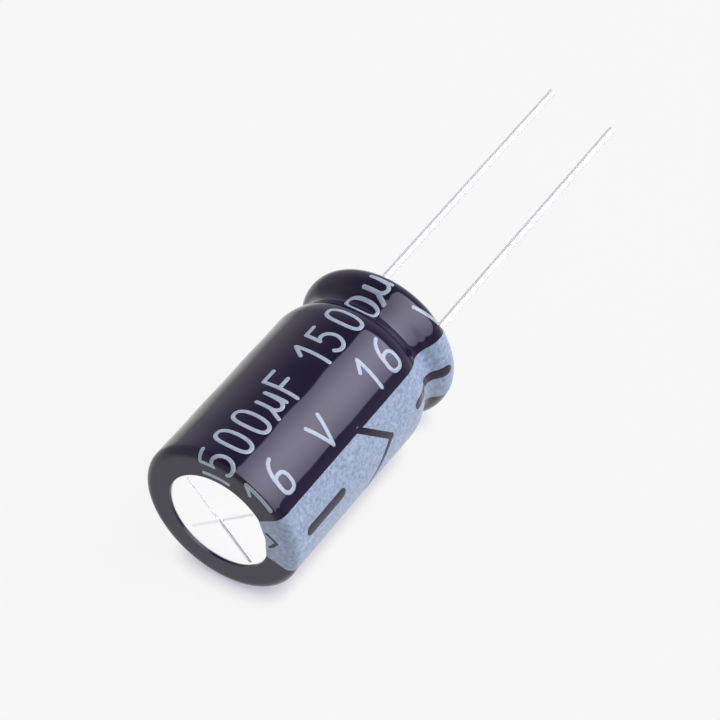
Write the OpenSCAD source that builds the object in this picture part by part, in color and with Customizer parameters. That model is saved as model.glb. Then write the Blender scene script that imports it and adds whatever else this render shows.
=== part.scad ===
// Radial aluminium electrolytic capacitor, leads down, vent end up.
// The origin is the middle of the seating plane, between the two leads.
// The negative lead stands at -X and the positive lead at +X.
// All lengths are in millimetres.

/* [Can] */
// Outside diameter of the bare aluminium can
can_d = 10; // [9.6:0.1:12.5]
// Height over the sleeve, from the seating plane to the vent end
body_h = 17.5; // [15:0.5:26]
// Wall of the drawn can
can_wall = 0.25; // [0.2:0.01:0.35]
// Thickness of the can's closed end
can_end = 0.35; // [0.25:0.01:0.6]
// Outside corner radius at the closed end
corner_r = 0.45; // [0.36:0.01:1]

/* [Bead and curl] */
// Depth of the rolled bead that grips the rubber
bead_depth = 0.85; // [0.6:0.05:1.1]
// Radius at the bottom of the bead, on the metal
bead_r = 0.65; // [0.5:0.05:0.8]
// Radius where the straight wall turns into the bead
shoulder_r = 2.8; // [2.2:0.1:3.2]
// Radius of the round rim below the bead
rim_r = 1.05; // [0.8:0.05:1.2]
// Width of the flat land under the rim, on which the can seats
rim_land = 0.2; // [0.1:0.05:0.25]
// How far the rim's edge is curled on, past the land
curl_deg = 20; // [10:1:25]

/* [Vent] */
// Half length of each scored line across the closed end
score_reach = 3; // [2:0.1:3.2]
// Width of the scored line at the surface
score_w = 0.24; // [0.15:0.01:0.4]
// Depth of the scored line
score_depth = 0.14; // [0.08:0.01:0.2]
// Turn of the scored cross about the can's axis
score_turn = 40; // [0:5:90]

/* [Sleeve] */
// Thickness of the shrunk sleeve
sleeve_t = 0.09; // [0.06:0.01:0.2]
// Diameter of the opening over the closed end
sleeve_open_d = 6.65; // [6.6:0.05:7.4]
// How far the sleeve follows the curl, past the land
sleeve_curl_deg = 15; // [5:1:18]

/* [Stripe] */
// Width of the printed stripe, as an angle round the can
stripe_deg = 48; // [30:1:70]
// Middle of the stripe, as a turn from +X
stripe_turn = 188; // [170:1:190]
// Thickness of the ink
ink_t = 0.02; // [0.01:0.005:0.04]
// How far over the seating plane the ink ends
ink_lift = 0.15; // [0.05:0.05:0.5]

/* [Rubber bung] */
// Height of the bung's inner face over the seating plane
bung_top = 4.3; // [4:0.1:4.6]
// Chamfer round the inner face
bung_chamfer = 0.3; // [0.2:0.05:0.5]
// Diameter of the dished mouth round each lead
mouth_d = 2; // [1.6:0.1:2]
// Depth of the dished mouth
mouth_depth = 0.25; // [0.1:0.05:0.4]

/* [Leads] */
// Distance between the leads at the seating plane
pitch = 5; // [4.4:0.1:5.2]
// Diameter of the lead wire
lead_d = 0.5; // [0.4:0.05:0.8]
// Length of the negative lead below the seating plane
negative_len = 22.5; // [5:0.5:30]
// Length of the positive lead below the seating plane
positive_len = 23.7; // [5:0.5:30]

/* [Tabs] */
// Diameter of the tab's round stem
stem_d = 1.2; // [1:0.05:1.4]
// Height of the weld between wire and stem, over the seating plane
weld_z = 0.05; // [0:0.05:0.1]
// Length of the stem's taper down to the weld
nose_len = 0.5; // [0.3:0.05:0.8]
// Width of the tab's flat blade
blade_w = 1.6; // [1.2:0.1:1.8]
// Thickness of the flat blade
blade_t = 0.22; // [0.15:0.01:0.3]
// How far the blade's end stays below the foil's upper edge
blade_margin = 2; // [1:0.1:5]
// How far the blade runs down into the stem
blade_root = 0.4; // [0.2:0.1:0.5]
// How far the stem stands out of the bung, inside the can
stem_out = 0.6; // [0.5:0.1:1]

/* [Wound element] */
// Radius of the hole left by the winding pin
core_r = 0.7; // [0.5:0.05:0.75]
// Thickness of the etched anode foil
anode_t = 0.1; // [0.06:0.01:0.11]
// Thickness of the cathode foil
cathode_t = 0.05; // [0.03:0.005:0.055]
// Thickness of each separator paper
paper_t = 0.05; // [0.03:0.005:0.055]
// Margin by which the papers stand past the foils at both ends
paper_margin = 0.6; // [0.3:0.1:1]
// Thickness of the closing tape
tape_t = 0.06; // [0.03:0.01:0.08]
// Width of the closing tape
tape_w = 8; // [4:0.5:9]

/* [Clearances] */
// Between the can and the sleeve, and between the can and the bung
skin_gap = 0.01; // [0.005:0.005:0.02]
// Between each stem and its hole in the bung
hole_gap = 0.02; // [0.01:0.01:0.05]
// Between the layers of the winding
layer_gap = 0.02; // [0.01:0.005:0.02]
// Between the winding and the can's end, and between the winding and the stems
end_gap = 0.25; // [0.1:0.05:0.5]
// Between the closing tape and the can's wall
wall_gap = 0.1; // [0.05:0.01:0.3]

/* [Hidden] */
$fn = 96;

can_r = can_d / 2;
sleeve_in = skin_gap;
sleeve_out = skin_gap + sleeve_t;
can_top = body_h - sleeve_out;
can_in = -can_wall;
bung_out = -can_wall - skin_gap;

// The rim, the bead and the shoulder are arcs that meet without a step.
rim_z = rim_r + sleeve_out;
rim_turn = acos(1 - bead_depth / (rim_r + bead_r));
bead_z = rim_z + (rim_r + bead_r) * sin(rim_turn);
shoulder_turn = acos(1 - bead_depth / (shoulder_r + bead_r));
shoulder_z = bead_z + (shoulder_r + bead_r) * sin(shoulder_turn);
bead_x = can_r - bead_depth + bead_r;

lead_x = pitch / 2;
stem_top = bung_top + stem_out;
hole_d = stem_d + 2 * hole_gap;
bung_face = rim_z - (rim_r + bung_out) * cos(curl_deg);

// The winding's layers, from the inside of one turn to the outside.
layer_pitch = anode_t + cathode_t + 2 * paper_t + 4 * layer_gap;
inner_paper_at = 0;
anode_at = inner_paper_at + paper_t + layer_gap;
outer_paper_at = anode_at + anode_t + layer_gap;
cathode_at = outer_paper_at + paper_t + layer_gap;
element_room = can_r - can_wall - wall_gap - tape_t;
turns = floor((element_room - core_r) / layer_pitch - 0.75);
tape_in = core_r + (turns + 0.75) * layer_pitch;
paper_bottom = stem_top + end_gap;
paper_top = can_top - can_end - end_gap;
foil_bottom = paper_bottom + paper_margin;
foil_top = paper_top - paper_margin;
blade_top = foil_top - blade_margin;

eps = 0.01;
arc_steps = 8;

// Points on an arc about c, from angle a to angle b.
function arc(c, r, a, b) = [
    for (i = [0:arc_steps])
        let (t = a + (b - a) * i / arc_steps)
            [c.x + r * cos(t), c.y + r * sin(t)]
];

// The can's outline from its closed end down to the rim, moved outward by off.
function upper_outline(off) = concat(
    arc([can_r - corner_r, can_top - corner_r], corner_r + off, 90, 0),
    arc([can_r - shoulder_r, shoulder_z], shoulder_r + off, 0, -shoulder_turn),
    bead_outline(off)
);
function bead_outline(off) = concat(
    arc([bead_x, bead_z], bead_r - off, 180 - shoulder_turn, 180 + rim_turn),
    arc([can_r - rim_r, rim_z], rim_r + off, rim_turn, -90)
);

// The rim's curl, past the flat land by the angle given.
function curl(off, deg) = arc([can_r - rim_r - rim_land, rim_z], rim_r + off, -90, -90 - deg);

// A list of points the other way round.
function turned(list) = [for (i = [len(list) - 1:-1:0]) list[i]];

// A skin that follows the can, from one distance off its surface to another.
module skin_profile(low, high, open_r) {
    polygon(concat(
        [[open_r, can_top + low], [open_r, can_top + high]],
        upper_outline(high),
        curl(high, sleeve_curl_deg),
        turned(curl(low, sleeve_curl_deg)),
        turned(upper_outline(low))
    ));
}

module sleeve() {
    color("#1b1724")
        rotate_extrude()
            skin_profile(sleeve_in, sleeve_out, sleeve_open_d / 2);
}

module stripe() {
    color("#a3b8d6")
        rotate([0, 0, stripe_turn - stripe_deg / 2])
            rotate_extrude(angle = stripe_deg)
                difference() {
                    skin_profile(sleeve_out, sleeve_out + ink_t, sleeve_open_d / 2);
                    translate([0, ink_lift - can_r])
                        square(can_r);
                }
}

// The drawn shell, closed at the top and open under the curl.
module can_profile() {
    polygon(concat(
        [[0, can_top]],
        upper_outline(0),
        curl(0, curl_deg),
        turned(curl(can_in, curl_deg)),
        turned(bead_outline(can_in)),
        turned(arc([can_r - shoulder_r, shoulder_z], shoulder_r + can_in, 0, -shoulder_turn)),
        arc([can_r - corner_r, can_top - can_end - (corner_r + can_in)], corner_r + can_in, 0, 90),
        [[0, can_top - can_end]]
    ));
}

module can() {
    color("#d9dadd")
        difference() {
            rotate_extrude() can_profile();
            for (turn = [0, 90])
                rotate([0, 0, score_turn + turn])
                    scored_groove();
        }
}

// One scored groove, a shallow flat-bottomed cut with round ends.
module scored_groove() {
    translate([0, 0, can_top - score_depth])
        linear_extrude(score_depth + eps)
            union() {
                square([2 * score_reach, score_w], center = true);
                for (side = [-1, 1])
                    translate([side * score_reach, 0])
                        circle(d = score_w);
            }
}

// The bung fills the can's mouth and is gripped by the bead.
module bung_profile() {
    polygon(concat(
        [[0, bung_face]],
        [[0, bung_top]],
        [[bung_wall_r(bung_top) - bung_chamfer, bung_top]],
        bung_side(),
        curl(bung_out, curl_deg)
    ));
}

// Radius of the can's inside, less the gap, at a height on the shoulder's arc.
function bung_wall_r(z) =
    can_r - shoulder_r + sqrt(pow(shoulder_r + bung_out, 2) - pow(min(0, z - shoulder_z), 2));

function bung_side() =
    let (z = bung_top - bung_chamfer)
    let (start = asin(min(0, z - shoulder_z) / (shoulder_r + bung_out)))
    concat(
        arc([can_r - shoulder_r, shoulder_z], shoulder_r + bung_out, start, -shoulder_turn),
        bead_outline(bung_out)
    );

module bung() {
    color("#2b2a2c")
        difference() {
            rotate_extrude() bung_profile();
            for (side = [-1, 1])
                translate([side * lead_x, 0, 0]) {
                    cylinder(d = hole_d, h = bung_top + eps);
                    translate([0, 0, bung_face - eps])
                        cylinder(d1 = mouth_d, d2 = hole_d, h = mouth_depth + eps);
                }
        }
}

// A straight wire, from its cut end up to the weld.
module lead(length) {
    translate([0, 0, -length])
        cylinder(d = lead_d, h = length + weld_z);
}

module lead_negative() {
    color("#cfd0d2")
        translate([-lead_x, 0, 0])
            lead(negative_len);
}

module lead_positive() {
    color("#cfd0d2")
        translate([lead_x, 0, 0])
            lead(positive_len);
}

// A tab: a tapered nose on the weld, a round stem in the bung and a flat blade in the winding.
module tab() {
    translate([0, 0, weld_z]) {
        cylinder(d1 = lead_d, d2 = stem_d, h = nose_len);
        translate([0, 0, nose_len])
            cylinder(d = stem_d, h = stem_top - weld_z - nose_len);
    }
    translate([-blade_t / 2, -blade_w / 2, stem_top - blade_root])
        cube([blade_t, blade_w, blade_top - stem_top + blade_root]);
}

module tab_negative() {
    color("#b9bcc0")
        translate([-lead_x, 0, 0])
            tab();
}

module tab_positive() {
    color("#b9bcc0")
        translate([lead_x, 0, 0])
            tab();
}

// Half of a round layer of the winding, on the +Y side.
module half_layer(r, t) {
    intersection() {
        difference() {
            circle(r = r + t);
            circle(r = r);
        }
        translate([-2 * r, 0])
            square([4 * r, 2 * r]);
    }
}

// A strip wound from half layers about two centres, a quarter of the layer pitch either side.
module wound_strip(at, t, bottom, top) {
    difference() {
        translate([0, 0, bottom])
            linear_extrude(top - bottom)
                for (k = [0:2 * turns - 1])
                    rotate(180 * (k % 2))
                        translate([-layer_pitch / 4, 0])
                            half_layer(core_r + at + k * layer_pitch / 2, t);
        for (side = [-1, 1])
            translate([side * lead_x, 0, bottom])
                tab_pocket(blade_top + layer_gap - bottom);
    }
}

// The room that the winding leaves round a tab's blade.
module tab_pocket(h) {
    translate([-blade_t / 2 - layer_gap, -blade_w / 2 - layer_gap, -1])
        cube([blade_t + 2 * layer_gap, blade_w + 2 * layer_gap, h + 1]);
}

module anode_foil() {
    color("#8f9398")
        wound_strip(anode_at, anode_t, foil_bottom, foil_top);
}

module cathode_foil() {
    color("#c4c7cb")
        wound_strip(cathode_at, cathode_t, foil_bottom, foil_top);
}

module inner_paper() {
    color("#d9c9a3")
        wound_strip(inner_paper_at, paper_t, paper_bottom, paper_top);
}

module outer_paper() {
    color("#d9c9a3")
        wound_strip(outer_paper_at, paper_t, paper_bottom, paper_top);
}

module closing_tape() {
    color("#c9a86a")
        translate([0, 0, (paper_bottom + paper_top - tape_w) / 2])
            difference() {
                cylinder(r = tape_in + tape_t, h = tape_w);
                translate([0, 0, -eps])
                    cylinder(r = tape_in, h = tape_w + 2 * eps);
            }
}

sleeve();
stripe();
can();
bung();
lead_negative();
lead_positive();
tab_negative();
tab_positive();
anode_foil();
cathode_foil();
inner_paper();
outer_paper();
closing_tape();
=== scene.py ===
from math import acos, pi, radians, sin

import bmesh
import bpy
import numpy as np
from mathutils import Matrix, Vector


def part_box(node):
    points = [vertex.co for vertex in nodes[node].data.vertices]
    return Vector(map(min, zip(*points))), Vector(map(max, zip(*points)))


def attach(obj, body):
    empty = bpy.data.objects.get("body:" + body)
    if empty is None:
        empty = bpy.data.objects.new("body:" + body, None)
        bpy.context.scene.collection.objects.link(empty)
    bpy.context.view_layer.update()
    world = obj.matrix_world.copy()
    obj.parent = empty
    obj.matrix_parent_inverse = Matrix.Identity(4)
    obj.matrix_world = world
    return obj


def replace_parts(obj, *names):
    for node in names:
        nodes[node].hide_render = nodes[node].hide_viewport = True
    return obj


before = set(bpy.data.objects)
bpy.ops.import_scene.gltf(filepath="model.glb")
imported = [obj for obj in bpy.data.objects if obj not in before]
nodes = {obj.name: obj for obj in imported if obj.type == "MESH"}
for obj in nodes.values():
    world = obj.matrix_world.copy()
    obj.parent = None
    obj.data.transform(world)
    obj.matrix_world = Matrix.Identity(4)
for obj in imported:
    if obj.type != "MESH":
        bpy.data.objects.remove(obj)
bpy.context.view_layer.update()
mm = 0.001

# The wound element: etched aluminium foils and two soft papers, soaked with electrolyte.
# They are wound together on a pin and held by a turn of brown tape.


def maker(tree):
    """Gives a function that adds a node to a tree and sets or links its inputs.

    An input is called by its name, or by its number after an underscore.
    """
    def node(kind, settings=None, **inputs):
        new = tree.nodes.new("ShaderNode" + kind)
        for key, value in (settings or {}).items():
            setattr(new, key, value)
        for key, value in inputs.items():
            socket = new.inputs[int(key[1:])] if key[0] == "_" else new.inputs[key.replace("_", " ")]
            if isinstance(value, bpy.types.NodeSocket):
                tree.links.new(value, socket)
            else:
                socket.default_value = value
        return new

    return node


def material(name, **sockets):
    """Makes a material of one Principled shader, and a maker of the nodes that feed it."""
    made = bpy.data.materials.new(name)
    made.use_nodes = True
    shader = made.node_tree.nodes["Principled BSDF"]
    for socket, value in sockets.items():
        shader.inputs[socket.replace("_", " ")].default_value = value
    return made, shader, maker(made.node_tree)


def noise(node, size, detail=2.0, stretch=(1, 1, 1)):
    """A cloud of tones about size metres across, longer where stretch is over 1."""
    place = node("TexCoord").outputs["Object"]
    scaled = node("Mapping", Vector=place, Scale=[1 / s for s in stretch])
    return node("TexNoise", Vector=scaled.outputs["Vector"], Scale=1 / size, Detail=detail).outputs["Fac"]


def between(node, share, first, second):
    """A colour between two, each a grey level, a colour or another node's output."""
    mixed = node("Mix", {"data_type": "RGBA"}, Factor=share)
    for socket, value in zip([s for s in mixed.inputs if s.type == "RGBA"], (first, second)):
        if isinstance(value, bpy.types.NodeSocket):
            mixed.id_data.links.new(value, socket)
        elif isinstance(value, tuple):
            socket.default_value = (*value, 1)
        else:
            socket.default_value = (value, value, value, 1)
    return next(s for s in mixed.outputs if s.type == "RGBA")


def tones(node, shader, amount, first, second, low=0.35, high=0.65):
    """Lets the colour drift from first to second as amount goes from low to high."""
    share = node("MapRange", From_Min=low, From_Max=high, Value=amount).outputs["Result"]
    shader.id_data.links.new(between(node, share, first, second), shader.inputs["Base Color"])


def relief(node, shader, amount, depth):
    """Raises the surface by depth metres where amount is high."""
    bump = node("Bump", Distance=depth, Height=amount)
    shader.id_data.links.new(bump.outputs["Normal"], shader.inputs["Normal"])


def dress(made, *names):
    """Gives CAD nodes their finish."""
    for name in names:
        if not nodes[name].material_slots:
            nodes[name].data.materials.append(None)
        for slot in nodes[name].material_slots:
            slot.material = made


anode, shader, node = material("etched_anode_foil", Metallic=0.7, Roughness=0.62)
etch = noise(node, 0.12 * mm, 6)
tones(node, shader, etch, (0.27, 0.28, 0.30), (0.42, 0.43, 0.45))
relief(node, shader, etch, 0.004 * mm)
dress(anode, "anode_foil")

cathode, shader, node = material("etched_cathode_foil", Metallic=0.8, Roughness=0.5)
etch = noise(node, 0.2 * mm, 4)
tones(node, shader, etch, (0.52, 0.53, 0.55), (0.68, 0.69, 0.71))
relief(node, shader, etch, 0.002 * mm)
dress(cathode, "cathode_foil")

paper, shader, node = material("soaked_paper", Roughness=0.8)
fibres = noise(node, 0.05 * mm, 5, (1, 1, 8))
tones(node, shader, fibres, (0.50, 0.41, 0.25), (0.70, 0.60, 0.40))
relief(node, shader, fibres, 0.006 * mm)
dress(paper, "inner_paper", "outer_paper")

tape, shader, node = material("closing_tape", Roughness=0.35)
tones(node, shader, noise(node, 1.5 * mm), (0.50, 0.33, 0.10), (0.66, 0.47, 0.18))
relief(node, shader, noise(node, 0.8 * mm), 0.01 * mm)
dress(tape, "closing_tape")

# The tabs: soft aluminium rod, pressed flat where it is staked to a foil and round in the bung.
# The press leaves a fine drawn grain along the tab.

tab, shader, node = material("pressed_aluminium", Metallic=1.0, Roughness=0.4)
grain = noise(node, 0.04 * mm, 3, (1, 1, 12))
tones(node, shader, grain, (0.66, 0.67, 0.69), (0.80, 0.81, 0.82))
relief(node, shader, grain, 0.002 * mm)
dress(tab, "tab_negative", "tab_positive")

# The leads: tinned wire, drawn smooth and bright, welded to the tabs and cut to two lengths.
# The shear leaves a small rounded burr round each cut end.


def quads(rows, columns, ring):
    """Faces of a grid of points: point (row, column) has the number row * columns + column.

    The last column joins the first one, and where ring is set the last row joins the first row.
    """
    index = np.arange(rows * columns).reshape(rows, columns)
    index = np.hstack([index, index[:, :1]])
    if ring:
        index = np.vstack([index, index[:1]])
    corners = np.stack([index[:-1, :-1], index[:-1, 1:], index[1:, 1:], index[1:, :-1]], -1)
    return corners.reshape(-1, 4)


def piece(name, points, faces, made):
    """Makes one piece of the object: points that meet become one, and its faces turn outward."""
    mesh = bpy.data.meshes.new(name)
    mesh.from_pydata(points.tolist(), [], faces.tolist())
    work = bmesh.new()
    work.from_mesh(mesh)
    bmesh.ops.remove_doubles(work, verts=work.verts, dist=meeting)
    bmesh.ops.dissolve_degenerate(work, edges=work.edges, dist=speck)
    bmesh.ops.recalc_face_normals(work, faces=work.faces)
    work.to_mesh(mesh)
    work.free()
    mesh.shade_smooth()
    mesh.set_sharp_from_angle(angle=radians(sharp_deg))
    mesh.materials.append(made)
    made_piece = bpy.data.objects.new(name, mesh)
    bpy.context.collection.objects.link(made_piece)
    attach(made_piece, "root")
    return made_piece


def surface(name, points, made, ring=False):
    """Skins a grid of points (row, column, xyz) that closes round its columns, and its poles."""
    return piece(name, points.reshape(-1, 3), quads(*points.shape[:2], ring), made)


def turned(outline, steps):
    """Turns (radius, height) points about Z: (r cos a, r sin a, z), with a from 0 to 2 pi in steps."""
    r, z = np.asarray(outline, float).T
    a = np.arange(steps) * 2 * pi / steps
    return np.stack([np.outer(r, np.cos(a)), np.outer(r, np.sin(a)), np.outer(z, np.ones(steps))], -1)


def arc(centre, radius, start, end, steps):
    """Points c + r (cos t, sin t) on an arc, with t in degrees from start to end."""
    t = np.radians(np.linspace(start, end, steps + 1))
    return np.stack([centre[0] + radius * np.cos(t), centre[1] + radius * np.sin(t)], -1)


# Points nearer than meeting become one, faces smaller than speck go, and folds over sharp_deg stay sharp.
meeting = 1e-8
speck = 1e-9
sharp_deg = 35

tin, shader, node = material("bright_tinned_wire", Metallic=0.4, Roughness=0.45)
tones(node, shader, noise(node, 0.5 * mm, 3, (1, 1, 6)), (0.84, 0.84, 0.85), (0.90, 0.90, 0.91))
relief(node, shader, noise(node, 0.25 * mm, 2, (1, 1, 10)), 0.001 * mm)

burr = 0.04 * mm
wire_columns = 48
wire_rows = 9
for name in ("lead_negative", "lead_positive"):
    low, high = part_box(name)
    centre = (low + high) / 2
    wire_r = (high.x - low.x) / 2
    outline = np.vstack([
        [[0, low.z]],
        arc((wire_r - burr, low.z + burr), burr, -90, 0, steps=5),
        np.stack([np.full(wire_rows, wire_r), np.linspace(low.z + 2 * burr, high.z, wire_rows)], -1),
        [[0, high.z]],
    ])
    points = turned(outline, wire_columns) + [centre.x, centre.y, 0]
    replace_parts(surface(name + "_wire", points, tin), name)

# The bung: moulded black rubber, squeezed by the bead and gripped by the curl of the can.
# Its skin is matt, with the fine grain of the mould and a dusting of bloom.

rubber, shader, node = material("black_rubber", Roughness=0.62)
bloom = noise(node, 0.6 * mm, 5)
tones(node, shader, bloom, (0.017, 0.016, 0.017), (0.034, 0.033, 0.034))
relief(node, shader, noise(node, 0.06 * mm, 4), 0.004 * mm)
dress(rubber, "bung")

# The can: impact-drawn aluminium. Its closed end is bright, with two scored grooves that cross
# and let it burst safely. Painted shade darkens the grooves, most on one half of one of them.


def ramp(node, value, low, high):
    """The share of the way from low to high, as a soft step."""
    soft = {"interpolation_type": "SMOOTHSTEP"}
    return node("MapRange", soft, Value=value, From_Min=low, From_Max=high).outputs["Result"]


def maths(node, operation, first, second=0.0):
    """One sum of two numbers, each a value or another node's output."""
    return node("Math", {"operation": operation}, _0=first, _1=second).outputs["Value"]


# Painted shade for the grooves: how far it reaches and blurs, and the half of one groove where it is
# strongest.
shaded_groove_deg = 130
groove_reach = 0.16 * mm
groove_blur = 0.1 * mm
shade_half_blur = 0.5 * mm
other_half_shade = 0.3
groove_w = 0.12 * mm
bright_end = (0.93, 0.925, 0.935)
painted_groove_shade = (0.26, 0.24, 0.25)

aluminium, shader, node = material("drawn_aluminium", Metallic=1.0, Roughness=0.24)
place = node("TexCoord").outputs["Object"]
turned_place = node("Mapping", Vector=place, Rotation=(0, 0, -radians(shaded_groove_deg)))
along = node("SeparateXYZ", Vector=turned_place.outputs["Vector"])
off_line = maths(node, "ABSOLUTE", along.outputs["Y"])
on_line = ramp(node, off_line, groove_reach + groove_blur, groove_reach)
shade_half = node("MapRange", Value=along.outputs["X"], From_Min=-shade_half_blur, From_Max=shade_half_blur, To_Min=other_half_shade)
# Painted shade: the colour darkens where the groove walls close in over the face.
open_face = node("AmbientOcclusion", {"samples": 8}, Distance=groove_w).outputs["AO"]
closed = maths(node, "SUBTRACT", 1.0, ramp(node, open_face, 0.5, 0.97))
shaded = maths(node, "MULTIPLY", closed, maths(node, "MULTIPLY", on_line, shade_half.outputs["Result"]))
tones(node, shader, shaded, bright_end, painted_groove_shade, 0, 1)
relief(node, shader, noise(node, 0.7 * mm, 3), 0.006 * mm)
dress(aluminium, "can")

# The sleeve: a printed PVC tube, shrunk over the can by heat. It follows the corner, the
# shoulder and the rim, spans the bottom of the bead a little and stays very slightly wavy.

sleeve_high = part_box("sleeve")[1]
barrel_r = sleeve_high.x
top = sleeve_high.z
film = 0.09 * mm
film_columns = 240
opening_r = 3.325 * mm
corner_r = 0.55 * mm
shoulder_r = 2.9 * mm
bead_r = 0.90 * mm
bead_depth = 0.70 * mm
rim_r = 1.15 * mm
rim_land = 0.2 * mm
curl_deg = 15

# The rim, the bead and the shoulder are arcs that meet without a step.
rim_turn = acos(1 - bead_depth / (rim_r + bead_r))
shoulder_turn = acos(1 - bead_depth / (shoulder_r + bead_r))
rim_z = rim_r
bead_z = rim_z + (rim_r + bead_r) * sin(rim_turn)
shoulder_z = bead_z + (shoulder_r + bead_r) * sin(shoulder_turn)
corner_z = top - corner_r
rim_x = barrel_r - rim_r
bead_x = barrel_r - bead_depth + bead_r
shoulder_x = barrel_r - shoulder_r
ring_u = corner_z + corner_r * pi / 2

# The wave of the film: how deep it is, how often it comes round and along the can (in radians
# per mm), and the heights in mm between which it shows.
wave = 0.010 * mm
waves_round = 7
waves_along = 1.5
wave_turn = 24
wave_low = 4.5
wave_high = 16.9
wave_fade = 1.5


def film_outline(inset):
    """The sleeve's section from the opening down to the curl, at inset under its outer face."""
    shoulder_deg = np.degrees(shoulder_turn)
    rim_deg = np.degrees(rim_turn)
    barrel = np.linspace(corner_z, shoulder_z, 40)[1:-1]
    ring = np.linspace(opening_r, barrel_r - corner_r, 6)[:-1]
    return np.vstack([
        np.stack([ring, np.full(len(ring), top - inset)], -1),
        arc((barrel_r - corner_r, corner_z), corner_r - inset, 90, 0, steps=10),
        np.stack([np.full(len(barrel), barrel_r - inset), barrel], -1),
        arc((shoulder_x, shoulder_z), shoulder_r - inset, 0, -shoulder_deg, steps=16),
        arc((bead_x, bead_z), bead_r + inset, 180 - shoulder_deg, 180 + rim_deg, steps=16)[1:],
        arc((rim_x, rim_z), rim_r - inset, rim_deg, -90, steps=24)[1:],
        arc((rim_x - rim_land, rim_z), rim_r - inset, -90, -90 - curl_deg, steps=4),
    ])


def ripple(points):
    """Moves points out or in by the wave of the film: w sin(n a - turn) cos(k z).

    The wave fades out towards the bead and towards the vent end.
    """
    angle = np.arctan2(points[..., 1], points[..., 0])
    z = points[..., 2] / mm
    fade = np.clip((z - wave_low) / wave_fade, 0, 1) * np.clip((wave_high - z) / wave_fade, 0, 1)
    out = wave * fade * np.sin(waves_round * angle - radians(wave_turn)) * np.cos(waves_along * z)
    r = np.hypot(points[..., 0], points[..., 1])
    scale = 1 + out / r
    return points * np.stack([scale, scale, np.ones_like(scale)], -1)


violet = (0.95, 0.91, 1.0, 1)
sleeve_film, shader, node = material("shrunk_pvc_film", Roughness=0.06, IOR=1.42, Specular_Tint=violet)
tones(node, shader, noise(node, 2.5 * mm, 3), (0.0090, 0.0055, 0.0250), (0.0145, 0.0088, 0.0350))
relief(node, shader, noise(node, 0.9 * mm, 2), 0.0012 * mm)

section = np.vstack([film_outline(0), film_outline(film)[::-1]])
points = ripple(turned(section, film_columns))
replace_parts(surface("shrunk_sleeve", points, sleeve_film, ring=True), "sleeve")

# The stripe: pale blue grey ink, printed on the film before it is shrunk, over the negative
# lead. It runs from the rim up the barrel and over the corner to the sleeve's opening.

stripe_turn = 188
stripe_deg = 48
stripe_columns = 41
ink = 0.02 * mm
ink_foot = 0.001 * mm
ink_end = 0.15 * mm


def on_film(u, angle, lift):
    """A point of the print: u is the height up the can, and past the corner the length along the film.

    angle is in degrees round the can, and lift is the distance off the film. On the shoulder, the
    bead and the rim, sin t is the height from the arc's middle over its radius, and the point lies
    at radius + lift from that middle, or at radius - lift on the bead, which is hollow.
    """
    u, angle, lift = np.broadcast_arrays(np.asarray(u, float), np.radians(angle), lift)
    low = np.minimum(u, corner_z)
    on_shoulder = low >= shoulder_z - shoulder_r * sin(shoulder_turn)
    on_bead = ~on_shoulder & (low >= rim_z + rim_r * sin(rim_turn))
    from_shoulder = np.clip(np.minimum(low - shoulder_z, 0) / shoulder_r, -1, 1)
    from_bead = np.clip((low - bead_z) / bead_r, -1, 1)
    from_rim = np.clip((low - rim_z) / rim_r, -1, 1)
    t = np.arcsin(np.select([on_shoulder, on_bead], [from_shoulder, from_bead], from_rim))
    centre = np.where(on_shoulder, shoulder_x, rim_x)
    radius = np.where(on_shoulder, shoulder_r, rim_r)
    r = np.where(on_bead, bead_x - (bead_r - lift) * np.cos(t), centre + (radius + lift) * np.cos(t))
    z = low + np.where(on_bead, -lift, lift) * np.sin(t)
    past = u > corner_z
    corner = np.clip((u - corner_z) / corner_r, 0, pi / 2)
    on_ring = np.maximum(u - ring_u, 0)
    r = np.where(past, barrel_r - corner_r + (corner_r + lift) * np.cos(corner) - on_ring, r)
    z = np.where(past, corner_z + (corner_r + lift) * np.sin(corner), z)
    return ripple(np.stack([r * np.cos(angle), r * np.sin(angle), z], -1))


def ribbon(u, across, foot, crest):
    """Points of a closed strip of ink: for each u, out along its crest and back along its foot.

    Both ends are drawn together to the middle of their row.
    """
    loop = np.concatenate([across, across[::-1]])
    lift = np.concatenate([np.full(len(across), crest), np.full(len(across), foot)])
    strip = on_film(u[:, None], loop[None, :], lift[None, :])
    first, last = [np.repeat(end.mean(1, keepdims=True), len(loop), 1) for end in (strip[:1], strip[-1:])]
    return np.concatenate([first, strip, last])


grey_blue, shader, node = material("stripe_ink", Roughness=0.4, IOR=1.5)
mottle = noise(node, 0.22 * mm, 5)
tones(node, shader, mottle, (0.215, 0.275, 0.45), (0.435, 0.525, 0.695), 0.3, 0.7)
relief(node, shader, mottle, 0.003 * mm)

ring_end = ring_u + barrel_r - corner_r - opening_r
heights = np.concatenate([
    ink_end + (rim_z - ink_end) * (1 - np.cos(np.linspace(0, pi / 2, 16)))[:-1],
    np.linspace(rim_z, shoulder_z, 48)[:-1],
    np.linspace(shoulder_z, corner_z, 48)[:-1],
    np.linspace(corner_z, ring_u, 12)[:-1],
    np.linspace(ring_u, ring_end, 6),
])
edges = np.linspace(stripe_turn - stripe_deg / 2, stripe_turn + stripe_deg / 2, stripe_columns)
stripe = surface("polarity_stripe", ribbon(heights, edges, ink_foot, ink), grey_blue)
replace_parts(stripe, "stripe")

# The signs on the stripe: rounded minus bars and arrowheads, where the ink was left out and
# the black film shows. The arrowheads point down to the negative lead.

pen_step = 0.12
pen_cap = 6
pen_round = 10


def finely(path):
    """The same path with points no further apart than pen_step."""
    path = np.asarray(path, float)
    parts = [path[:1]]
    for a, b in zip(path[:-1], path[1:]):
        n = max(1, int(np.ceil(np.linalg.norm(b - a) / pen_step)))
        parts.append(a + (b - a) * np.linspace(0, 1, n + 1)[1:, None])
    return np.vstack(parts)


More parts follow.
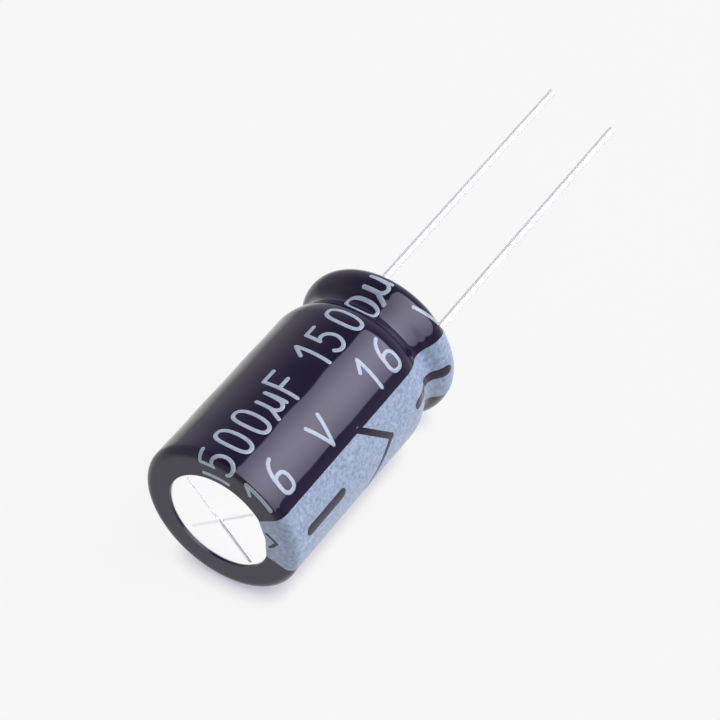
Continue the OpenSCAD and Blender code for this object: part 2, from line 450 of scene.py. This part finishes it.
def round_ends(path, half):
    """The path with round ends added, and half the pen's width at each of its points.

    At w sin t past an end the half width is w cos t, and along the path it is w.
    """
    first = (path[0] - path[1]) / np.linalg.norm(path[0] - path[1])
    last = (path[-1] - path[-2]) / np.linalg.norm(path[-1] - path[-2])
    t = np.linspace(0, pi / 2, pen_cap + 1)[1:]
    head = path[0] + first * half * np.sin(t)[::-1, None]
    tail = path[-1] + last * half * np.sin(t)[:, None]
    cap = half * np.cos(t)
    return np.vstack([head, path, tail]), np.concatenate([cap[::-1], np.full(len(path), half), cap])


def stroke(path, width, base, lift):
    """Lays a pen stroke on the film, along a path of (height up the can, length round it) in mm.

    It is a low bead: at w cos a to the side it stands sqrt(sin a) of lift above base, and its
    underside lies at half of base. Gives its points, and whether it ends where it starts.
    """
    path = finely(path)
    closed = np.allclose(path[0], path[-1])
    if closed:
        path = path[:-1]
        half = np.full(len(path), width / 2)
    else:
        path, half = round_ends(path, width / 2)
    ahead = np.roll(path, -1, 0) - np.roll(path, 1, 0)
    if not closed:
        ahead[0] = path[1] - path[0]
        ahead[-1] = path[-1] - path[-2]
    side = np.stack([-ahead[:, 1], ahead[:, 0]], -1)
    side /= np.linalg.norm(side, axis=1, keepdims=True)
    turn = np.linspace(0, 2 * pi, pen_round + 1)[:-1]
    spread = half[:, None, None] * np.cos(turn)[None, :, None]
    flat = path[:, None, :] + spread * side[:, None, :]
    bead = base + lift * np.sin(np.minimum(turn, pi)) ** 0.5 * (half[:, None] / (width / 2))
    bead = np.where(np.sin(turn)[None, :] > 0.01, bead, base * 0.5)
    return on_film(flat[..., 0] * mm, np.degrees(flat[..., 1] * mm / barrel_r), bead), closed


def print_piece(name, strokes, made):
    """Joins strokes into one piece of print, each one's faces numbered after the last one's points."""
    points = np.vstack([grid.reshape(-1, 3) for grid, closed in strokes])
    starts = np.cumsum([0] + [grid.shape[0] * grid.shape[1] for grid, closed in strokes])
    faces = [quads(*grid.shape[:2], closed) + start for (grid, closed), start in zip(strokes, starts)]
    piece(name, points, np.vstack(faces), made)


degree = radians(1) * barrel_r / mm
bar_middles = (14.2, 3.0)
bar_length = 3.85
bar_w = 0.8
arrow_tip = 7.5
cut_arrow_tip = 18.4
cut_arm = (0.5, 0.75)
arrow_w = 0.45
cut_arrow_w = arrow_w * 0.6
past_edge = 0.3
sign_lift = 0.008 * mm
crossing_lift = 0.001 * mm
half_stripe = stripe_deg / 2 * degree
stripe_mid = stripe_turn * degree

reach = (bar_length - bar_w) / 2
arm = half_stripe - arrow_w / 2 + past_edge
bars = []
arrows = []
for middle in bar_middles:
    path = [(middle - reach, stripe_mid), (middle + reach, stripe_mid)]
    bars.append(stroke(path, bar_w, ink, sign_lift))
for side in (-1, 1):
    lift = sign_lift + side * crossing_lift
    path = [(arrow_tip, stripe_mid), (arrow_tip + arm, stripe_mid + side * arm)]
    cut_path = [(cut_arrow_tip, stripe_mid), (cut_arrow_tip + cut_arm[0], stripe_mid + side * cut_arm[1])]
    arrows.append(stroke(path, arrow_w, ink, lift))
    arrows.append(stroke(cut_path, cut_arrow_w, ink, lift))
print_piece("minus_bars", bars, sleeve_film)
print_piece("arrowheads", arrows, sleeve_film)

# The rating: pale ink in plain single-stroke figures, printed along the film in two rows that
# repeat. A row runs over the corner at the vent end and down over the bead.

print_ink, shader, node = material("rating_ink", Roughness=0.15, IOR=1.42)
tones(node, shader, noise(node, 0.3 * mm, 4), (0.39, 0.455, 0.59), (0.48, 0.545, 0.68))


def bow(x, y, rx, ry, start, end):
    """Points (x + rx cos t, y + ry sin t) on part of an ellipse, with t in degrees."""
    t = np.radians(np.linspace(start, end, 17))
    return np.stack([x + rx * np.cos(t), y + ry * np.sin(t)], -1)


def oval(width, height):
    """A closed upright oval with nearly straight sides: (|x| / a)^2.6 + (|y| / b)^2.6 = 1."""
    t = np.linspace(0, 2 * pi, 49)[:-1]
    x = width / 2 * (1 + np.sign(np.cos(t)) * np.abs(np.cos(t)) ** (2 / 2.6))
    y = height / 2 * (1 + np.sign(np.sin(t)) * np.abs(np.sin(t)) ** (2 / 2.6))
    points = np.stack([x, y], -1)
    return np.vstack([points, points[:1]])


# Each figure is a list of pen strokes in units of the figure's height.
figure_w = 0.42
FIGURES = {
    "0": [oval(figure_w, 1)],
    "1": [[(0.22, 0), (0.22, 1)], [(0.22, 1), (-0.02, 0.70)]],
    "5": [
        [(0.40, 1), (0.06, 1)],
        [(0.06, 1), (0.03, 0.56)],
        np.vstack([[(0.03, 0.56)], bow(0.18, 0.32, 0.25, 0.32, 112, -140)]),
    ],
    "6": [
        np.vstack([bow(0.42, 0.42, 0.40, 0.58, 100, 180), [(0.02, 0.30)]]),
        oval(figure_w, 0.56) + [0.01, 0],
    ],
    "u": [
        np.vstack([[(0, 0.74), (0, 0.36)], bow(0.17, 0.32, 0.17, 0.20, 190, 350), [(0.36, 0.74)]]),
        [(0.36, 0.74), (0.40, 0.14)],
        [(0, 0.34), (-0.14, 0.0)],
    ],
    "F": [[(0, 0), (0, 1)], [(0, 1), (0.44, 1)], [(0, 0.53), (0.38, 0.53)]],
    "V": [[(0, 0.80), (0.33, -0.03)], [(0.33, -0.03), (0.57, 0.82)]],
    "cut 1": [[(0.22, 0), (0.22, 1)]],
}


def row(name, figures, turn, height):
    """Writes a row of figures along the film, with its foot at turn degrees round the can.

    A figure is (sign, height up the can of its left edge in mm). Strokes that cross differ in
    lift, so that no two faces lie in one place.
    """
    strokes = []
    for sign, start in figures:
        for path in FIGURES[sign]:
            along = start - np.asarray(path)[:, 0] * height
            across = turn * degree + np.asarray(path)[:, 1] * height
            lift = print_lift + layer * (len(strokes) % layers)
            strokes.append(stroke(np.stack([along, across], -1), pen_w, 0.0, lift))
    print_piece(name, strokes, print_ink)


pen_w = 0.25
print_lift = 0.008 * mm
layer = 0.001 * mm
layers = 5
capacitance_turn = 256.2
capacitance_height = 2.28
voltage_turn = 220.2
voltage_height = 2.14
capacitance = [
    ("cut 1", 19.15), ("5", 17.95), ("0", 16.2), ("0", 14.5), ("u", 12.68), ("F", 11.15),
    ("1", 8.4), ("5", 7.0), ("0", 5.1), ("0", 3.25), ("u", 1.75),
]
voltage = [("1", 18.1), ("6", 16.25), ("V", 12.4), ("1", 7.1), ("6", 5.4), ("V", 1.22)]
row("capacitance_print", capacitance, capacitance_turn, capacitance_height)
row("voltage_print", voltage, voltage_turn, voltage_height)

# The table: a plain white sheet that the can lies on, so it stands upright behind the part.
# It shows a painted shadow, a soft dark line where the can touches it, and nothing from its back.

table_gap = 0.002 * mm
table_half = 2.0
contact_reach = 1.5 * mm
contact_shade = (0.42, 0.40, 0.51)
sheet_white = 0.945
glow_near = 1.04
glow_far = 0.62
near = 22 * mm
far = 60 * mm
matt_share = 0.06
matt_white = (0.9, 0.9, 0.9, 1)

table_y = barrel_r + table_gap
table_corners = [(x * table_half, table_y, z * table_half) for x, z in ((-1, -1), (1, -1), (1, 1), (-1, 1))]
table_mesh = bpy.data.meshes.new("table")
table_mesh.from_pydata(table_corners, [], [(0, 1, 2, 3)])
table = bpy.data.objects.new("table", table_mesh)
bpy.context.collection.objects.link(table)
table.visible_diffuse = False
table.visible_shadow = False

# The camera sees the sheet's white with a painted contact shadow of the can. The gloss sees a
# painted glow, a pool of light that falls off with the distance from the part.
sheet = bpy.data.materials.new("white_sheet")
sheet.use_nodes = True
table_mesh.materials.append(sheet)
sheet.node_tree.nodes.clear()
add = maker(sheet.node_tree)
# Painted shadow: the white darkens towards contact_shade where the can closes in over the sheet.
closeness = add("AmbientOcclusion", {"samples": 16}, Distance=contact_reach).outputs["AO"]
painted_contact_shadow = between(add, ramp(add, closeness, 0.1, 0.93), contact_shade, sheet_white)
# Painted light: the glow seen in reflections is brighter near the part and dims further off.
from_part = add("VectorMath", {"operation": "LENGTH"}, _0=add("NewGeometry").outputs["Position"])
painted_glow_falloff = between(add, ramp(add, from_part.outputs["Value"], near, far), glow_near, glow_far)
camera_sees = add("LightPath").outputs["Is Camera Ray"]
glow = add("Emission", Color=between(add, camera_sees, painted_glow_falloff, painted_contact_shadow))
matt = add("BsdfDiffuse", Color=matt_white)
front = add("MixShader", Fac=matt_share, _1=glow.outputs["Emission"], _2=matt.outputs["BSDF"])
clear = add("BsdfTransparent")
backfacing = add("NewGeometry").outputs["Backfacing"]
sides = add("MixShader", Fac=backfacing, _1=front.outputs["Shader"], _2=clear.outputs["BSDF"])
add("OutputMaterial", Surface=sides.outputs["Shader"])

# The studio: a large lamp beyond the leads for the colours, and for the gloss a tall soft panel
# that stands beside the can, in a room that is dim overhead and paler towards the table.

toward_lamp = Vector((-0.545, -0.626, -0.56)).normalized()
lamp_radiance = 2.7
lamp_light = bpy.data.lights.new("key_lamp", "AREA")
lamp_light.shape = "RECTANGLE"
lamp_light.size = 1.25
lamp_light.size_y = 0.85
lamp_light.energy = lamp_radiance * pi * lamp_light.size * lamp_light.size_y
key_lamp = bpy.data.objects.new("key_lamp", lamp_light)
key_lamp.location = toward_lamp
key_lamp.rotation_mode = "QUATERNION"
key_lamp.rotation_quaternion = (-toward_lamp).to_track_quat("-Z", "Y")
key_lamp.visible_camera = False
key_lamp.visible_glossy = False
bpy.context.collection.objects.link(key_lamp)

# The panel's sizes are ratios: sideways or upward over the distance ahead. It fades from
# panel_bright to panel_edge, and grows wider above splay_from. A blur is half a soft edge.
panel_turn = 233
panel_half_w = 0.67
panel_low = -1.35
panel_high = 2.5
panel_fade = panel_half_w * 1.1
panel_splay = 0.36
splay_from = 0.6
side_blur = 0.03
low_blur = 0.15
high_blur = 0.3
panel_bright = (6.3, 6.3, 7.2)
panel_edge = (3.2, 3.2, 3.9)
dim_overhead = (0.24, 0.23, 0.27)
dim_table = (0.70, 0.67, 0.78)
toward_table = (0.35, 1, 0)
soft_overhead = 0.41
soft_table = 0.62
room_white = 0.931

world = bpy.data.worlds.new("room")
bpy.context.scene.world = world
world.use_nodes = True
world.node_tree.nodes.clear()
add = maker(world.node_tree)
direction = add("TexCoord").outputs["Generated"]
to_panel = add("Mapping", {"vector_type": "POINT"}, Vector=direction, Rotation=(0, 0, -radians(panel_turn)))
ahead = add("SeparateXYZ", Vector=to_panel.outputs["Vector"])
sideways = maths(add, "ABSOLUTE", maths(add, "DIVIDE", ahead.outputs["Y"], ahead.outputs["X"]))
upward = maths(add, "DIVIDE", ahead.outputs["Z"], ahead.outputs["X"])
above_splay = maths(add, "MAXIMUM", maths(add, "SUBTRACT", upward, splay_from), 0.0)
half_w = maths(add, "ADD", maths(add, "MULTIPLY", above_splay, panel_splay), panel_half_w)
inside = ramp(add, maths(add, "SUBTRACT", sideways, half_w), side_blur, -side_blur)
before = ramp(add, ahead.outputs["X"], 0.02, 0.08)
above = ramp(add, upward, panel_low - low_blur, panel_low + low_blur)
below = ramp(add, upward, panel_high + high_blur, panel_high - high_blur)
across = maths(add, "MULTIPLY", inside, before)
on_panel = maths(add, "MULTIPLY", across, maths(add, "MULTIPLY", above, below))
panel = between(add, ramp(add, sideways, 0, panel_fade), panel_bright, panel_edge)
aslant = add("VectorMath", {"operation": "DOT_PRODUCT"}, _0=direction, _1=toward_table).outputs["Value"]
dim = between(add, ramp(add, aslant, -0.85, 0.05), dim_overhead, dim_table)
down = add("SeparateXYZ", Vector=direction).outputs["Y"]
soft = between(add, ramp(add, down, -0.15, 0.1), soft_overhead, soft_table)
rays = add("LightPath")
lit = between(add, rays.outputs["Is Glossy Ray"], soft, between(add, on_panel, dim, panel))
seen = between(add, rays.outputs["Is Camera Ray"], lit, room_white)
background = add("Background", Color=seen)
add("OutputWorld", Surface=background.outputs["Background"])

# The camera: it looks down at the vent end from the stripe's side, rolled so that the leads
# rise to the right. Its place and its lens are fitted to the photograph.

lens = bpy.data.cameras.new("camera")
lens.sensor_width = 36
lens.lens = 143.42
lens.clip_start = 0.01
lens.clip_end = 10
camera = bpy.data.objects.new("camera", lens)
camera.location = (-64.324 * mm, -120.970 * mm, 99.647 * mm)
camera.rotation_euler = (radians(-46.6503), radians(32.8264), radians(179.0745))
bpy.context.collection.objects.link(camera)
bpy.context.scene.camera = camera
bpy.context.scene.view_settings.view_transform = "Standard"
